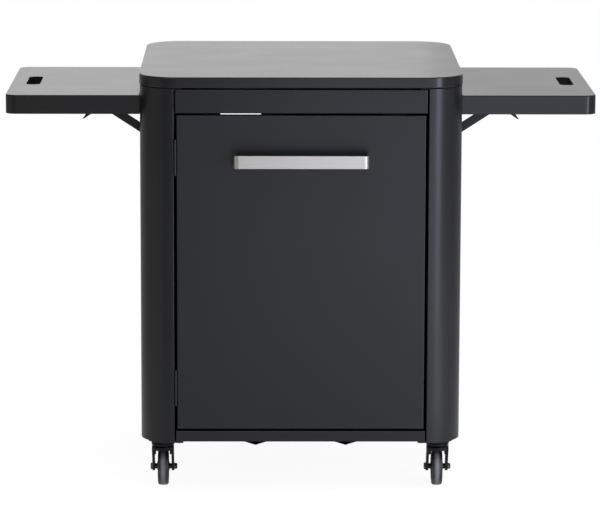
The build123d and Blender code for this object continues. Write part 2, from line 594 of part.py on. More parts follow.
def wheel_hub():
    """Moulded hub: a rim inside the tyre, a web, and a boss that runs on the axle between the fork's legs."""
    outside = HUB_RADIUS - RUN_CLEARANCE
    rim_half = WHEEL_WIDTH / 2 - TYRE_ROUND / 2
    boss_half = WHEEL_WIDTH / 2 + HUB_BOSS_PROUD
    collar_half = FORK_INSIDE - MOVE_CLEARANCE
    hub = on_axle(Circle(outside) - Circle(outside - HUB_RIM), -rim_half, rim_half)
    hub += on_axle(Circle(outside), -HUB_WEB / 2, HUB_WEB / 2)
    hub += on_axle(Circle(HUB_BOSS_RADIUS), -boss_half, boss_half)
    hub += on_axle(Circle(HUB_COLLAR_RADIUS), -collar_half, collar_half)
    return hub - on_axle(Circle(AXLE_RADIUS + RUN_CLEARANCE), -collar_half, collar_half)


nodes = {
    "worktop": worktop(),
    "back_panel": back_panel(),
    "floor_panel": floor_panel(),
    "front_fascia": front_fascia(),
    "front_bottom_rail": front_bottom_rail(),
    "top_gussets": gussets(FRAME_TOP),
    "bottom_gussets": gussets(CASTER_HEIGHT),
    "door_catch": door_catch(),
    "hinge_pins": hinge_pins(),
    "door_panel": door_panel(),
    "door_liner": door_liner(),
    "door_handle": door_handle(),
    "catch_strike": catch_strike(),
}

for level in HINGE_HEIGHTS:
    nodes[f"hinge_frame_leaf_{level}"] = hinge_leaf(level, moving=False)
    nodes[f"hinge_door_leaf_{level}"] = hinge_leaf(level, moving=True)

caster_mounts = []
for side_name, side in SIDES.items():
    tray = shelf_tray()
    nodes[f"{side_name}_side_panel"] = side_panel(side)
    nodes[f"{side_name}_shelf_tray"] = tray if side > 0 else tray.mirror(Plane.YZ)
    grouped = {
        "wall_brackets": wall_bracket(),
        "bracket_pins": bracket_pins(),
        "shelf_channels": guide_channel(),
        "strut_pins": strut_pin(),
    }
    for name, shape in grouped.items():
        nodes[f"{side_name}_{name}"] = at_bracket(shape, side, -1) + at_bracket(shape, side, 1)
    for end_name, end in ENDS.items():
        corner = f"{end_name}_{side_name}"
        nodes[f"{corner}_post"] = post(side, end)
        nodes[f"{corner}_strut"] = at_bracket(strut(), side, end)
        nodes[f"{corner}_release_lever"] = at_bracket(release_lever(), side, end)
        swivel = Pos(side * (HALF_WIDTH - CASTER_INSET), end * (HALF_DEPTH - CASTER_INSET), 0)
        caster_mounts.append(swivel * caster_mount())
        nodes[f"{corner}_caster_fork"] = swivel * caster_fork()
        nodes[f"{corner}_caster_axle"] = swivel * caster_axle()
        nodes[f"{corner}_wheel_tyre"] = swivel * wheel_tyre()
        nodes[f"{corner}_wheel_hub"] = swivel * wheel_hub()
nodes["caster_mounts"] = Compound([mount.solid() for mount in caster_mounts])

# The origin lies on the floor, midway between the handle and the rear wheels.
os.makedirs("parts", exist_ok=True)
for name, shape in nodes.items():
    export_step(Pos(0, BODY_Y, 0) * shape, f"parts/{name}.step")
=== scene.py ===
import math

import bpy
from mathutils import Matrix, Vector


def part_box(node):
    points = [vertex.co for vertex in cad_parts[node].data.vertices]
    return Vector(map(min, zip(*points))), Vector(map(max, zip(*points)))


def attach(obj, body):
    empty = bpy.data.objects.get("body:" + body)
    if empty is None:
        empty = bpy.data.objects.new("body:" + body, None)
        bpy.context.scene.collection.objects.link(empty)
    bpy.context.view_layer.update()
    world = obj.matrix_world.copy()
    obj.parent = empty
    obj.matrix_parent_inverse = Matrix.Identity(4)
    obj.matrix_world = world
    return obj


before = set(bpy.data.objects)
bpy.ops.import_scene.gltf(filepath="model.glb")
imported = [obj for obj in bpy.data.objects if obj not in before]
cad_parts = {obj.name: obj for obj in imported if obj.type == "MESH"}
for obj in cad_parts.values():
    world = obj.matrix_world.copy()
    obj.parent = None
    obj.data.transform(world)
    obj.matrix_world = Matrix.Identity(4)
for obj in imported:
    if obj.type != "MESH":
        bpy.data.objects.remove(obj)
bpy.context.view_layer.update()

# Cabinet shell: four curved corner posts, side, back and floor panels, and the rails over and under the door.
# Folded sheet steel, welded and screwed at the corner plates; the shell is powder coated satin black.
MM = 0.001
CORNERS = ("front_left", "front_right", "rear_left", "rear_right")


def srgb(code):
    """Linear colour, with alpha, of an sRGB hex code."""
    values = [int(code[i:i + 2], 16) / 255 for i in (1, 3, 5)]
    return [v / 12.92 if v <= 0.04045 else ((v + 0.055) / 1.055) ** 2.4 for v in values] + [1.0]


def add_node(tree, kind, inputs=None, **settings):
    """One node with its settings; each input is a plain value or the socket that feeds it."""
    node = tree.nodes.new(kind)
    for name, value in settings.items():
        setattr(node, name, value)
    for socket, value in (inputs or {}).items():
        if isinstance(value, bpy.types.NodeSocket):
            tree.links.new(value, node.inputs[socket])
        else:
            node.inputs[socket].default_value = value
    return node


def blank_material(name):
    """A new material with an empty node tree."""
    material = bpy.data.materials.new(name)
    material.use_nodes = True
    material.node_tree.nodes.clear()
    return material, material.node_tree


def coat(name, colour, thin_colour, roughness, peel_height, ior=1.46, hollow=None):
    """Baked powder coat: even near-black, soft gloss, a faint orange peel, and a paler line on sharp edges.
    Real orange peel is about 2 mm across; it is drawn at 5 mm so that it shows from across a room.
    hollow is a point inside a tray: faces turned towards it get little powder and stay matt."""
    peel_size = 5 * MM
    cloud_size = 140 * MM
    edge_width = 0.8 * MM
    gloss_drift = 0.012
    inside_roughness = 0.85
    turned_in = -1 * MM
    material, tree = blank_material(name)
    place = add_node(tree, "ShaderNodeTexCoord").outputs["Object"]
    peel = add_node(tree, "ShaderNodeTexNoise", {"Vector": place, "Scale": 1 / peel_size, "Detail": 2.0})
    cloud = add_node(tree, "ShaderNodeTexNoise", {"Vector": place, "Scale": 1 / cloud_size, "Detail": 4.0})
    rounded = add_node(tree, "ShaderNodeBevel", {"Radius": edge_width}, samples=6)
    flat = add_node(tree, "ShaderNodeNewGeometry").outputs["Normal"]
    turn = add_node(tree, "ShaderNodeVectorMath", {0: rounded.outputs[0], 1: flat}, operation="DOT_PRODUCT")
    edge = add_node(tree, "ShaderNodeMapRange",
                    {"Value": turn.outputs["Value"], "From Min": 0.98, "From Max": 0.80, "To Max": 0.7})
    tone = add_node(tree, "ShaderNodeMix", {"Factor": edge.outputs[0], 6: srgb(colour), 7: srgb(thin_colour)},
                    data_type="RGBA")
    gloss = add_node(tree, "ShaderNodeMapRange",
                     {"Value": cloud.outputs["Fac"], "From Min": 0.3, "From Max": 0.7,
                      "To Min": roughness - gloss_drift, "To Max": roughness + gloss_drift})
    if hollow:
        outward = add_node(tree, "ShaderNodeVectorMath", {0: place, 1: hollow}, operation="SUBTRACT")
        faced = add_node(tree, "ShaderNodeTexCoord").outputs["Normal"]
        facing = add_node(tree, "ShaderNodeVectorMath", {0: outward.outputs[0], 1: faced},
                          operation="DOT_PRODUCT")
        inner = add_node(tree, "ShaderNodeMath", {0: facing.outputs["Value"], 1: turned_in},
                         operation="LESS_THAN")
        gloss = add_node(tree, "ShaderNodeMix",
                         {"Factor": inner.outputs[0], 2: gloss.outputs[0], 3: inside_roughness},
                         data_type="FLOAT")
    skin = add_node(tree, "ShaderNodeBump",
                    {"Height": peel.outputs["Fac"], "Normal": rounded.outputs[0],
                     "Strength": 0.35, "Distance": peel_height})
    shader = add_node(tree, "ShaderNodeBsdfPrincipled",
                      {"Base Color": tone.outputs[2], "Roughness": gloss.outputs[0],
                       "Normal": skin.outputs[0], "IOR": ior})
    add_node(tree, "ShaderNodeOutputMaterial", {"Surface": shader.outputs[0]})
    return material


def finish(material, *names):
    """The named CAD pieces take this material."""
    for name in names:
        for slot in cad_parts[name].material_slots:
            slot.material = material


powder_coat = coat("satin_black_powder_coat", "#141518", "#343437", 0.30, 0.12 * MM)
finish(powder_coat, "left_side_panel", "right_side_panel", "back_panel", "floor_panel", "front_fascia",
       "front_bottom_rail", "bottom_gussets", *[corner + "_post" for corner in CORNERS])
# The corner plates under the worktop are dull and painted nearly black: painted shade for the shadow gap
# in front of them, so the joint there reads dark.
gap_shade_coat = coat("painted_shade_black_plates", "#060607", "#101011", 0.75, 0.05 * MM, ior=1.33)
finish(gap_shade_coat, "top_gussets")

# Cabinet screws: button-head socket screws up through the corner plates, into the floor and the worktop.
# Zinc-plated steel, blackened; each head is a low dome with a six-sided socket pressed into it.
body_low, body_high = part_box("worktop")
BODY_Y = (body_low.y + body_high.y) / 2
SIDES = {"left": -1, "right": 1}
ENDS = {"front": -1, "rear": 1}


def heads_tree():
    """Geometry nodes: a domed head with a recess at every point, turned to face the way its point says."""
    crown_share = 0.55
    dome_power = 3.0
    round_sides = 24
    rings = 5
    tree = bpy.data.node_groups.new("fastener_heads", "GeometryNodeTree")
    sockets = {"Geometry": "NodeSocketGeometry", "Head Radius": "NodeSocketFloat",
               "Head Height": "NodeSocketFloat", "Recess Radius": "NodeSocketFloat",
               "Recess Sides": "NodeSocketInt", "Finish": "NodeSocketMaterial"}
    for name, kind in sockets.items():
        tree.interface.new_socket(name, in_out="INPUT", socket_type=kind)
    tree.interface.new_socket("Geometry", in_out="OUTPUT", socket_type="NodeSocketGeometry")
    given = add_node(tree, "NodeGroupInput").outputs
    crown = add_node(tree, "ShaderNodeMath", {0: given["Head Radius"], 1: crown_share},
                     operation="MULTIPLY")
    blank = add_node(tree, "GeometryNodeMeshCone",
                     {"Vertices": round_sides, "Side Segments": rings, "Radius Top": crown.outputs[0],
                      "Radius Bottom": given["Head Radius"], "Depth": given["Head Height"]})
    spot = add_node(tree, "GeometryNodeInputPosition")
    axes = add_node(tree, "ShaderNodeSeparateXYZ", {0: spot.outputs[0]})
    flat_spot = add_node(tree, "ShaderNodeCombineXYZ", {"X": axes.outputs[0], "Y": axes.outputs[1]})
    reach = add_node(tree, "ShaderNodeVectorMath", {0: flat_spot.outputs[0]}, operation="LENGTH")
    share = add_node(tree, "ShaderNodeMath", {0: reach.outputs["Value"], 1: given["Head Radius"]},
                     operation="DIVIDE")
    steep = add_node(tree, "ShaderNodeMath", {0: share.outputs[0], 1: dome_power}, operation="POWER")
    drop = add_node(tree, "ShaderNodeMath", {0: 1.0, 1: steep.outputs[0]}, operation="SUBTRACT")
    rise = add_node(tree, "ShaderNodeMath", {0: drop.outputs[0], 1: given["Head Height"]},
                    operation="MULTIPLY")
    domed = add_node(tree, "ShaderNodeCombineXYZ",
                     {"X": axes.outputs[0], "Y": axes.outputs[1], "Z": rise.outputs[0]})
    dome = add_node(tree, "GeometryNodeSetPosition",
                    {"Geometry": blank.outputs["Mesh"], "Position": domed.outputs[0]})
    punch = add_node(tree, "GeometryNodeMeshCylinder",
                     {"Vertices": given["Recess Sides"], "Radius": given["Recess Radius"],
                      "Depth": given["Head Height"]})
    lift = add_node(tree, "ShaderNodeCombineXYZ", {"Z": given["Head Height"]})
    punch_up = add_node(tree, "GeometryNodeTransform",
                        {"Geometry": punch.outputs["Mesh"], "Translation": lift.outputs[0]})
    head = add_node(tree, "GeometryNodeMeshBoolean",
                    {"Mesh 1": dome.outputs[0], "Mesh 2": punch_up.outputs[0]}, operation="DIFFERENCE")
    facing = add_node(tree, "GeometryNodeInputNamedAttribute", {"Name": "facing"}, data_type="FLOAT_VECTOR")
    turned = add_node(tree, "FunctionNodeAlignRotationToVector", {"Vector": facing.outputs[0]}, axis="Z")
    heads = add_node(tree, "GeometryNodeInstanceOnPoints",
                     {"Points": given["Geometry"], "Instance": head.outputs["Mesh"],
                      "Rotation": turned.outputs[0]})
    solid = add_node(tree, "GeometryNodeRealizeInstances", {"Geometry": heads.outputs[0]})
    painted = add_node(tree, "GeometryNodeSetMaterial",
                       {"Geometry": solid.outputs[0], "Material": given["Finish"]})
    add_node(tree, "NodeGroupOutput", {"Geometry": painted.outputs[0]})
    return tree


HEADS = heads_tree()


def fasten(name, body, material, sizes, spots):
    """A group of like screws or rivets on one body: a head at each place, facing out of the sheet."""
    points = bpy.data.meshes.new(name)
    points.from_pydata([place for place, facing in spots], [], [])
    aim = points.attributes.new("facing", "FLOAT_VECTOR", "POINT")
    for item, (place, facing) in zip(aim.data, spots):
        item.vector = facing
    piece = bpy.data.objects.new(name, points)
    bpy.context.scene.collection.objects.link(piece)
    modifier = piece.modifiers.new("heads", "NODES")
    modifier.node_group = HEADS
    keys = {item.name: item.identifier for item in HEADS.interface.items_tree if item.in_out == "INPUT"}
    for label, value in dict(sizes, Finish=material).items():
        modifier[keys[label]] = value
    shaped = piece.evaluated_get(bpy.context.evaluated_depsgraph_get())
    mesh = bpy.data.meshes.new_from_object(shaped)
    piece.modifiers.clear()
    piece.data = mesh
    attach(piece, body)


def plated_steel(name, colour, roughness):
    """Zinc-plated steel: dull silver metal with a soft spangle, drawn about 6 mm across."""
    spangle_size = 6 * MM
    spangle_colour = "#8E8F92"
    spangle_dulling = 0.12
    material, tree = blank_material(name)
    place = add_node(tree, "ShaderNodeTexCoord").outputs["Object"]
    spangle = add_node(tree, "ShaderNodeTexVoronoi", {"Vector": place, "Scale": 1 / spangle_size})
    tone = add_node(tree, "ShaderNodeMix",
                    {"Factor": spangle.outputs["Color"], 6: srgb(colour), 7: srgb(spangle_colour)},
                    data_type="RGBA")
    rough = add_node(tree, "ShaderNodeMapRange",
                     {"Value": spangle.outputs["Distance"], "From Max": 0.6,
                      "To Min": roughness, "To Max": roughness + spangle_dulling})
    shader = add_node(tree, "ShaderNodeBsdfPrincipled",
                      {"Base Color": tone.outputs[2], "Metallic": 1.0, "Roughness": rough.outputs[0]})
    add_node(tree, "ShaderNodeOutputMaterial", {"Surface": shader.outputs[0]})
    return material


black_screw = plated_steel("black_zinc_plated_steel", "#2B2B2E", 0.32)
bright_steel = plated_steel("bright_zinc_plated_steel", "#B9BABD", 0.26)
BUTTON_HEAD = {"Head Radius": 4.6 * MM, "Head Height": 2.6 * MM, "Recess Radius": 1.9 * MM, "Recess Sides": 6}
FLOOR_SCREW_INSETS = ((75 * MM, 10 * MM), (21 * MM, 75 * MM))
TOP_SCREW_INSETS = ((54 * MM, 24 * MM), (22 * MM, 56 * MM))
plate_low, plate_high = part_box("bottom_gussets")
crown_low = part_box("top_gussets")[0]
floor_screws = []
top_screws = []
for side in SIDES.values():
    for end in ENDS.values():
        corner_x = side * plate_high.x
        corner_y = BODY_Y + end * (plate_high.y - BODY_Y)
        for inset_x, inset_y in FLOOR_SCREW_INSETS:
            place = (corner_x - side * inset_x, corner_y - end * inset_y, plate_low.z)
            floor_screws.append((place, (0, 0, -1)))
        for inset_x, inset_y in TOP_SCREW_INSETS:
            place = (corner_x - side * inset_x, corner_y - end * inset_y, crown_low.z)
            top_screws.append((place, (0, 0, -1)))
fasten("floor_screws", "cabinet", black_screw, BUTTON_HEAD, floor_screws)
fasten("worktop_screws", "cabinet", black_screw, BUTTON_HEAD, top_screws)

# Swivel casters: stamped fork on a ball race, flange riveted under the corner plate, 75 mm wheel.
# Fork and race are electro-coated, thin, deep black and glossy; the axle bolt is plated, and the tyre is
# rubber on a nylon hub.
caster_coat = coat("black_electrocoat_on_steel", "#08080A", "#2E2E31", 0.12, 0.03 * MM, ior=1.33)
finish(caster_coat, "caster_mounts", *[corner + "_caster_fork" for corner in CORNERS])
finish(black_screw, *[corner + "_caster_axle" for corner in CORNERS])


def moulded(name, colour, worn_colour, roughness, grain_size, grain_height, painted_highlight=None):
    """Moulded black polymer: a fine matt grain from the mould and a slow change of tone, and a painted
    highlight where given.
    The last argument is a pair, a function that adds the painted highlight's mask to the tree and the
    highlight's colour."""
    tone_size = 30 * MM
    grain_gloss = 0.08
    material, tree = blank_material(name)
    place = add_node(tree, "ShaderNodeTexCoord").outputs["Object"]
    grain = add_node(tree, "ShaderNodeTexNoise", {"Vector": place, "Scale": 1 / grain_size, "Detail": 3.0})
    drift = add_node(tree, "ShaderNodeTexNoise", {"Vector": place, "Scale": 1 / tone_size, "Detail": 2.0})
    tone = add_node(tree, "ShaderNodeMix",
                    {"Factor": drift.outputs["Fac"], 6: srgb(colour), 7: srgb(worn_colour)}, data_type="RGBA")
    if painted_highlight:
        # Painted highlight: a paler colour mixed in where the mask says.
        mask, highlight_colour = painted_highlight
        tone = add_node(tree, "ShaderNodeMix",
                        {"Factor": mask(tree, place), 6: tone.outputs[2], 7: srgb(highlight_colour)},
                        data_type="RGBA")
    rough = add_node(tree, "ShaderNodeMapRange",
                     {"Value": grain.outputs["Fac"],
                      "To Min": roughness - grain_gloss, "To Max": roughness + grain_gloss})
    skin = add_node(tree, "ShaderNodeBump",
                    {"Height": grain.outputs["Fac"], "Strength": 0.4, "Distance": grain_height})
    shader = add_node(tree, "ShaderNodeBsdfPrincipled",
                      {"Base Color": tone.outputs[2], "Roughness": rough.outputs[0],
                       "Normal": skin.outputs[0], "IOR": 1.5})
    add_node(tree, "ShaderNodeOutputMaterial", {"Surface": shader.outputs[0]})
    return material


def tread_highlight_band(tree, place):
    """Mask of a painted highlight down the middle of the tread, where a crowned tread catches light, with a
    ragged edge.
    """
    tyre_low, tyre_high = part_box("front_right_wheel_tyre")
    half_width = (tyre_high.x - tyre_low.x) / 2
    band_start = 1.5 * MM
    band_end = 0.85 * half_width
    fray_size = 3 * MM
    across = add_node(tree, "ShaderNodeSeparateXYZ", {0: place})
    out = add_node(tree, "ShaderNodeMath", {0: across.outputs["X"]}, operation="ABSOLUTE")
    off = add_node(tree, "ShaderNodeMath", {0: out.outputs[0], 1: tyre_low.x + half_width},
                   operation="SUBTRACT")
    away = add_node(tree, "ShaderNodeMath", {0: off.outputs[0]}, operation="ABSOLUTE")
    fray = add_node(tree, "ShaderNodeTexNoise", {"Vector": place, "Scale": 1 / fray_size, "Detail": 3.0})
    ragged = add_node(tree, "ShaderNodeMath",
                      {0: fray.outputs["Fac"], 1: fray_size, 2: away.outputs[0]}, operation="MULTIPLY_ADD")
    band = add_node(tree, "ShaderNodeMapRange",
                    {"Value": ragged.outputs[0], "From Min": band_start, "From Max": band_end,
                     "To Min": 1.0, "To Max": 0.0}, interpolation_type="SMOOTHSTEP")
    return band.outputs[0]


# The tyre's pale grey middle band is a painted highlight down the tread.
tyre_rubber = moulded("moulded_black_rubber", "#232324", "#2D2D2E", 0.30, 2 * MM, 0.05 * MM,
                      painted_highlight=(tread_highlight_band, "#8E8E90"))
hub_nylon = moulded("moulded_black_nylon", "#1A1A1C", "#262628", 0.34, 1.5 * MM, 0.06 * MM)
finish(tyre_rubber, *[corner + "_wheel_tyre" for corner in CORNERS])
finish(hub_nylon, *[corner + "_wheel_hub" for corner in CORNERS])

RIVET_RING = 25.75 * MM
FLANGE_RIVETS = 4
RIVET = {"Head Radius": 2.4 * MM, "Head Height": 1.1 * MM, "Recess Radius": 0.8 * MM, "Recess Sides": 12}
mount_low, mount_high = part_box("caster_mounts")
FLANGE_RADIUS = 29 * MM
FLANGE_SHEET = 2.5 * MM
FLANGE_BOTTOM = mount_high.z - FLANGE_SHEET
FIRST_RIVET = 45
flange_rivets = []
for side in SIDES.values():
    for middle_y in (mount_low.y + FLANGE_RADIUS, mount_high.y - FLANGE_RADIUS):
        middle_x = side * (mount_high.x - FLANGE_RADIUS)
        for step in range(FLANGE_RIVETS):
            angle = math.radians(FIRST_RIVET + 360 / FLANGE_RIVETS * step)
            rivet_x = middle_x + RIVET_RING * math.cos(angle)
            rivet_y = middle_y + RIVET_RING * math.sin(angle)
            flange_rivets.append(((rivet_x, rivet_y, FLANGE_BOTTOM), (0, 0, -1)))
fasten("caster_flange_rivets", "cabinet", black_screw, RIVET, flange_rivets)

# Worktop: a sheet tray turned upside down, its rim folded down and a lip folded in under it.
# Sheet steel in the same powder coat, here a little glossier and flatter: it mirrors the pale wall behind.
worktop_coat = coat("satin_black_powder_coat_worktop", "#151517", "#343437", 0.24, 0.06 * MM)
finish(worktop_coat, "worktop")

# Door hinges and catch: two butt hinges with plated pins, and a magnetic catch in a moulded case.
# The leaves are coated with the cabinet; countersunk screws hold them, three to a leaf.
finish(powder_coat, "hinge_frame_leaf_upper", "hinge_frame_leaf_lower",
       "hinge_door_leaf_upper", "hinge_door_leaf_lower")
finish(bright_steel, "hinge_pins", "catch_strike")
catch_plastic = moulded("moulded_black_abs", "#1C1C1E", "#28282A", 0.38, 1.2 * MM, 0.05 * MM)
finish(catch_plastic, "door_catch")
COUNTERSUNK = {"Head Radius": 2.6 * MM, "Head Height": 0.7 * MM, "Recess Radius": 1.1 * MM, "Recess Sides": 6}
LEAF_SCREW_PITCH = 26 * MM
LEAF_SCREW_SETBACK = 5.5 * MM
LEAF_SHEET_SINK = 1 * MM
frame_leaf_screws = []
door_leaf_screws = []
for level in ("upper", "lower"):
    leaf_low, leaf_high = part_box("hinge_frame_leaf_" + level)
    leaf_y = leaf_high.y - LEAF_SCREW_SETBACK
    leaf_z = (leaf_low.z + leaf_high.z) / 2
    door_leaf_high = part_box("hinge_door_leaf_" + level)[1]
    for step in (-1, 0, 1):
        height = leaf_z + step * LEAF_SCREW_PITCH
        frame_leaf_screws.append(((leaf_low.x + LEAF_SHEET_SINK, leaf_y, height), (1, 0, 0)))
        door_leaf_screws.append(((door_leaf_high.x - LEAF_SHEET_SINK, leaf_y, height), (-1, 0, 0)))
fasten("hinge_frame_screws", "cabinet", bright_steel, COUNTERSUNK, frame_leaf_screws)
fasten("hinge_door_screws", "door", bright_steel, COUNTERSUNK, door_leaf_screws)
CASE_SCREW_INSET = 6 * MM
case_low, case_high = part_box("door_catch")
case_y = (case_low.y + case_high.y) / 2
catch_screws = [((x, case_y, case_low.z), (0, 0, -1))
                for x in (case_low.x + CASE_SCREW_INSET, case_high.x - CASE_SCREW_INSET)]
fasten("catch_screws", "cabinet", bright_steel, COUNTERSUNK, catch_screws)
STRIKE_RIVET_INSET = 5 * MM
STRIKE_RIVET = {"Head Radius": 1.6 * MM, "Head Height": 0.25 * MM,
                "Recess Radius": 0.5 * MM, "Recess Sides": 12}
strike_low, strike_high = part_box("catch_strike")
strike_z = (strike_low.z + strike_high.z) / 2
strike_rivets = [((x, strike_high.y, strike_z), (0, 1, 0))
                 for x in (strike_low.x + STRIKE_RIVET_INSET, strike_high.x - STRIKE_RIVET_INSET)]
fasten("strike_rivets", "door", bright_steel, STRIKE_RIVET, strike_rivets)

# Door: a folded outer pan closed by a thin liner, sheet steel; two pan-head screws hold the handle's feet.
# Powder coated as the cabinet is, a shade softer, so the handle's mirror image in it is only a dark band;
# its colour is painted a little lighter than the cabinet's, painted light that makes up for the softer gloss.
door_coat = coat("satin_black_powder_coat_door", "#1B1C1F", "#343437", 0.37, 0.12 * MM)
finish(door_coat, "door_panel", "door_liner")
HANDLE_FOOT = 2 * MM
handle_low, handle_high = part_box("door_handle")
liner_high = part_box("door_liner")[1]
foot_z = (handle_low.z + handle_high.z) / 2
handle_screws = [((side * (handle_high.x - HANDLE_FOOT), liner_high.y, foot_z), (0, 1, 0))
                 for side in SIDES.values()]
PAN_HEAD = {"Head Radius": 4.2 * MM, "Head Height": 2.2 * MM, "Recess Radius": 1.6 * MM, "Recess Sides": 6}
fasten("handle_screws", "door", bright_steel, PAN_HEAD, handle_screws)

# Door handle: a flat stainless bar bent back at both ends, brushed along its length.
# The brushing stretches reflections upright and leaves fine streaks; lines are drawn 0.8 mm wide to show.
STREAK_WIDTH = 0.8 * MM
STREAK_LENGTH = 60 * MM
stainless, tree = blank_material("brushed_stainless_steel")
place = add_node(tree, "ShaderNodeTexCoord").outputs["Object"]
along = add_node(tree, "ShaderNodeMapping",
                 {"Vector": place, "Scale": (1 / STREAK_LENGTH, 1 / STREAK_WIDTH, 1 / STREAK_WIDTH)})
streak = add_node(tree, "ShaderNodeTexNoise", {"Vector": along.outputs[0], "Scale": 1.0, "Detail": 3.0})
tone = add_node(tree, "ShaderNodeMix",
                {"Factor": streak.outputs["Fac"], 6: srgb("#B8B6B0"), 7: srgb("#D2D0CA")}, data_type="RGBA")
rough = add_node(tree, "ShaderNodeMapRange", {"Value": streak.outputs["Fac"], "To Min": 0.24, "To Max": 0.40})
brushing = add_node(tree, "ShaderNodeBump",
                    {"Height": streak.outputs["Fac"], "Strength": 0.3, "Distance": 0.05 * MM})
shader = add_node(tree, "ShaderNodeBsdfPrincipled",
                  {"Base Color": tone.outputs[2], "Metallic": 1.0, "Roughness": rough.outputs[0],
                   "Normal": brushing.outputs[0]})
add_node(tree, "ShaderNodeOutputMaterial", {"Surface": shader.outputs[0]})
finish(stainless, "door_handle")

# Folding side shelves: a sheet tray with a hand slot on each side, on two guide channels.
# It hinges on the wall brackets and swings down against the side. The top is coated as the worktop is;
# the inside gets little powder and stays matt, so the slot looks black.
for name in SIDES:
    tray_low, tray_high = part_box(name + "_shelf_tray")
    middle = (tray_low + tray_high) / 2
    tray_coat = coat("satin_black_powder_coat_" + name + "_tray", "#151517", "#343437", 0.24, 0.06 * MM,
                     hollow=(middle.x, middle.y, tray_low.z))
    finish(tray_coat, name + "_shelf_tray")
# Channels, brackets, struts and levers have a matt coat painted darker than the trays above them:
# painted shade for where they sit under the shelves.
shaded_support_coat = coat("matt_black_powder_coat_supports_painted_shade", "#0C0C0E", "#28282A", 0.46, 0.08 * MM)
finish(shaded_support_coat, *[name + part for name in SIDES for part in ("_shelf_channels", "_wall_brackets")])

# Shelf supports: a folded strut, a sliding cross pin and a release lever at each channel.
# Struts and levers are coated black, the pins are plated rivets; blind rivets hold the wall brackets.
finish(shaded_support_coat, *[corner + part for corner in CORNERS for part in ("_strut", "_release_lever")])
finish(bright_steel, *[side + part for side in SIDES for part in ("_bracket_pins", "_strut_pins")])
BRACKET_BASE = 28 * MM
BRACKET_SHEET = 2 * MM
RIVET_INSET = 2.75 * MM
RIVET_TOP_DROP = 6 * MM
for name, side in SIDES.items():
    bracket_low, bracket_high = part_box(name + "_wall_brackets")
    panel_low, panel_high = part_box(name + "_side_panel")
    face_x = side * (max(abs(panel_low.x), abs(panel_high.x)) + BRACKET_SHEET)
    rivets = []
    for base_y in (bracket_low.y, bracket_high.y - BRACKET_BASE):
        for y in (base_y + RIVET_INSET, base_y + BRACKET_BASE - RIVET_INSET):
            for z in (bracket_low.z + RIVET_TOP_DROP, bracket_high.z - RIVET_TOP_DROP):
                rivets.append(((face_x, y, z), (side, 0, 0)))
    fasten(name + "_bracket_rivets", "cabinet", black_screw, RIVET, rivets)

# Studio floor: wide pale paper. The camera sees four parts of glow and one of lit paper, which together
# are white and keep a faint shadow of the cart. In reflections the paper glows dimmer, and painted shade
# darkens it further beside the cart and in a wedge at the front left: the coat shows its shape by them.
FLOOR_HALF = 9.0
WHITE = 1.03
CAMERA_LIFT = 0.14
CAMERA_SHARE = 0.80
MIRRORED_SHARE = 0.34
BESIDE_SHARE = 0.05
WEDGE_INNER_SIDE = (-1.0, 0.30, 0.0)
WEDGE_OUTER_SIDE = (1.0, -1.1, 0.0)
WEDGE_PAINTED_SHADE = 0.95
floor_mesh = bpy.data.meshes.new("floor")
floor_mesh.from_pydata([(-FLOOR_HALF, -FLOOR_HALF, 0), (FLOOR_HALF, -FLOOR_HALF, 0),
                        (FLOOR_HALF, FLOOR_HALF, 0), (-FLOOR_HALF, FLOOR_HALF, 0)], [], [(0, 1, 2, 3)])
floor = bpy.data.objects.new("floor", floor_mesh)
bpy.context.scene.collection.objects.link(floor)
paper, tree = blank_material("white_backdrop_paper")
ray = add_node(tree, "ShaderNodeLightPath")
matt = add_node(tree, "ShaderNodeBsdfDiffuse", {"Color": srgb("#DCDCDC")})
white = add_node(tree, "ShaderNodeMath", {0: ray.outputs["Is Camera Ray"], 1: CAMERA_LIFT, 2: WHITE},
                 operation="MULTIPLY_ADD")
glow = add_node(tree, "ShaderNodeEmission", {"Color": srgb("#FFFFFF"), "Strength": white.outputs[0]})
mirrored = add_node(tree, "ShaderNodeMath",
                    {0: ray.outputs["Is Glossy Ray"], 1: ray.outputs["Is Transmission Ray"]},
                    operation="MAXIMUM")
place = add_node(tree, "ShaderNodeTexCoord").outputs["Object"]
spot = add_node(tree, "ShaderNodeSeparateXYZ", {0: place})
# Painted shade: beside the cart, the glow that reflections see fades darker towards the back.
aside = add_node(tree, "ShaderNodeMath", {0: spot.outputs["X"]}, operation="ABSOLUTE")
flank = add_node(tree, "ShaderNodeMapRange", {"Value": aside.outputs[0], "From Min": 0.6, "From Max": 1.2})
fade = add_node(tree, "ShaderNodeMapRange",
                {"Value": spot.outputs["Y"], "From Min": -0.6, "From Max": 0.1,
                 "To Min": MIRRORED_SHARE, "To Max": BESIDE_SHARE})
bright = add_node(tree, "ShaderNodeMix", {"Factor": flank.outputs[0], 2: MIRRORED_SHARE, 3: fade.outputs[0]},
                  data_type="FLOAT")
# Painted shade: the glow that reflections see is darkened in a wedge at the front left.
inner = add_node(tree, "ShaderNodeVectorMath", {0: place, 1: WEDGE_INNER_SIDE}, operation="DOT_PRODUCT")
outer = add_node(tree, "ShaderNodeVectorMath", {0: place, 1: WEDGE_OUTER_SIDE}, operation="DOT_PRODUCT")
inside = add_node(tree, "ShaderNodeMapRange",
                  {"Value": inner.outputs["Value"], "From Min": 0.15, "From Max": 0.35})
shaded = add_node(tree, "ShaderNodeMapRange",
                  {"Value": outer.outputs["Value"], "From Min": 0.0, "From Max": 0.3,
                   "To Max": WEDGE_PAINTED_SHADE})
painted_wedge_shade = add_node(tree, "ShaderNodeMath", {0: inside.outputs[0], 1: shaded.outputs[0]}, operation="MULTIPLY")
kept = add_node(tree, "ShaderNodeMix", {"Factor": painted_wedge_shade.outputs[0], 2: bright.outputs[0], 3: 0.0},
                data_type="FLOAT")
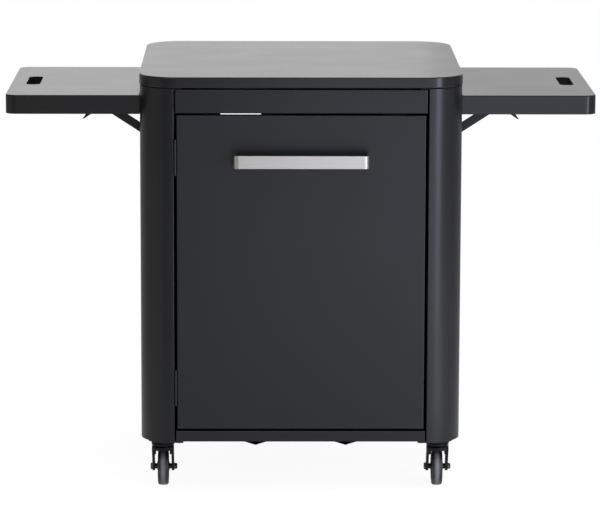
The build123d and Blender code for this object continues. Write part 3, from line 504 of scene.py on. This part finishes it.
half_lit = add_node(tree, "ShaderNodeMath", {0: mirrored.outputs[0], 1: kept.outputs[0]},
                    operation="MULTIPLY")
share = add_node(tree, "ShaderNodeMath",
                 {0: ray.outputs["Is Camera Ray"], 1: CAMERA_SHARE, 2: half_lit.outputs[0]},
                 operation="MULTIPLY_ADD")
seen = add_node(tree, "ShaderNodeMixShader", {0: share.outputs[0], 1: matt.outputs[0], 2: glow.outputs[0]})
add_node(tree, "ShaderNodeOutputMaterial", {"Surface": seen.outputs[0]})
paper.cycles.emission_sampling = "NONE"
floor_mesh.materials.append(paper)

# Studio light: a surround that is white to the camera, bright behind the cart and dimmer in front and aside.
# Soft boxes stand in front, at the right and above; two at the right light the floor that the post mirrors.
world = bpy.data.worlds.new("studio")
bpy.context.scene.world = world
world.use_nodes = True
tree = world.node_tree
tree.nodes.clear()
ray = add_node(tree, "ShaderNodeLightPath")
way = add_node(tree, "ShaderNodeTexCoord").outputs["Generated"]
TOWARDS_BACK = (0.06, 0.42, 0.05)
SIDE_DIMMING = -0.30
FRONT_WORLD = 0.18
BACK_WORLD = 0.87
slope = add_node(tree, "ShaderNodeVectorMath", {0: way, 1: TOWARDS_BACK}, operation="DOT_PRODUCT")
axes = add_node(tree, "ShaderNodeSeparateXYZ", {0: way})
aside = add_node(tree, "ShaderNodeMath", {0: axes.outputs["X"]}, operation="ABSOLUTE")
behind = add_node(tree, "ShaderNodeMath", {0: aside.outputs[0], 1: SIDE_DIMMING, 2: slope.outputs["Value"]},
                  operation="MULTIPLY_ADD")
depth = add_node(tree, "ShaderNodeMapRange",
                 {"Value": behind.outputs[0], "From Min": -0.30, "From Max": 0.40,
                  "To Min": FRONT_WORLD, "To Max": BACK_WORLD})
seen = add_node(tree, "ShaderNodeMix",
                {"Factor": ray.outputs["Is Camera Ray"], 2: depth.outputs[0], 3: 1.0}, data_type="FLOAT")
sky = add_node(tree, "ShaderNodeBackground", {"Color": srgb("#FFFFFF"), "Strength": seen.outputs[0]})
add_node(tree, "ShaderNodeOutputWorld", {"Surface": sky.outputs[0]})


def soft_box(name, place, aim, width, height, radiance, colour="#FFFFFF"):
    """A soft box that gives the same brightness all over, facing the point it is aimed at."""
    light = bpy.data.lights.new(name, "AREA")
    light.shape = "RECTANGLE"
    light.size = width
    light.size_y = height
    light.energy = math.pi * width * height * radiance
    light.color = srgb(colour)[:3]
    lamp = bpy.data.objects.new(name, light)
    lamp.location = place
    lamp.rotation_euler = (Vector(aim) - Vector(place)).to_track_quat("-Z", "Y").to_euler()
    lamp.visible_camera = False
    bpy.context.scene.collection.objects.link(lamp)


soft_box("front_box", place=(1.05, -2.2, 0.35), aim=(0.95, 0.0, 0.4),
         width=2.3, height=0.9, radiance=1.12, colour="#E4E8FF")
soft_box("right_strip", place=(1.76, -1.95, 0.6), aim=(0.33, -0.3, 0.5),
         width=0.5, height=1.8, radiance=3.2, colour="#E6EAFF")
soft_box("right_top_strip", place=(1.76, -1.95, 0.85), aim=(0.33, -0.3, 0.75),
         width=0.36, height=0.7, radiance=5.0, colour="#DCE2FF")
soft_box("back_box", place=(-1.15, 2.6, 1.3), aim=(-0.55, 0.0, 0.9), width=3.2, height=1.6, radiance=0.26)
soft_box("floor_strip", place=(1.29, -1.36, 0.40), aim=(1.335, -1.41, 0.0),
         width=0.3, height=1.9, radiance=8.5)
soft_box("floor_box", place=(2.1, -0.85, 0.9), aim=(2.1, -0.85, 0.0), width=1.7, height=1.3, radiance=1.3)
soft_box("top_box", place=(0.0, -1.7, 2.6), aim=(0.0, -1.5, 0.0), width=2.4, height=2.4, radiance=1.4)

# Camera: a long lens about seven metres away, twice as high as the worktop, looking down ten degrees
# and turned slightly to the right.
IMAGE_WIDTH = 600
FOCAL_PIXELS = 3500.4
SENSOR_MM = 36.0
CAMERA_PLACE = (-0.0733, -6.95955, 1.6725)
YAW = math.radians(0.613)
PITCH = math.radians(10.220)
ROLL = math.radians(0.153)
lens = bpy.data.cameras.new("camera")
lens.sensor_fit = "HORIZONTAL"
lens.sensor_width = SENSOR_MM
lens.lens = FOCAL_PIXELS / IMAGE_WIDTH * SENSOR_MM
camera = bpy.data.objects.new("camera", lens)
camera.matrix_world = (Matrix.Translation(CAMERA_PLACE) @ Matrix.Rotation(-YAW, 4, "Z")
                       @ Matrix.Rotation(math.pi / 2 - PITCH, 4, "X") @ Matrix.Rotation(ROLL, 4, "Z"))
bpy.context.scene.collection.objects.link(camera)
bpy.context.scene.camera = camera
bpy.context.scene.view_settings.view_transform = "Standard"
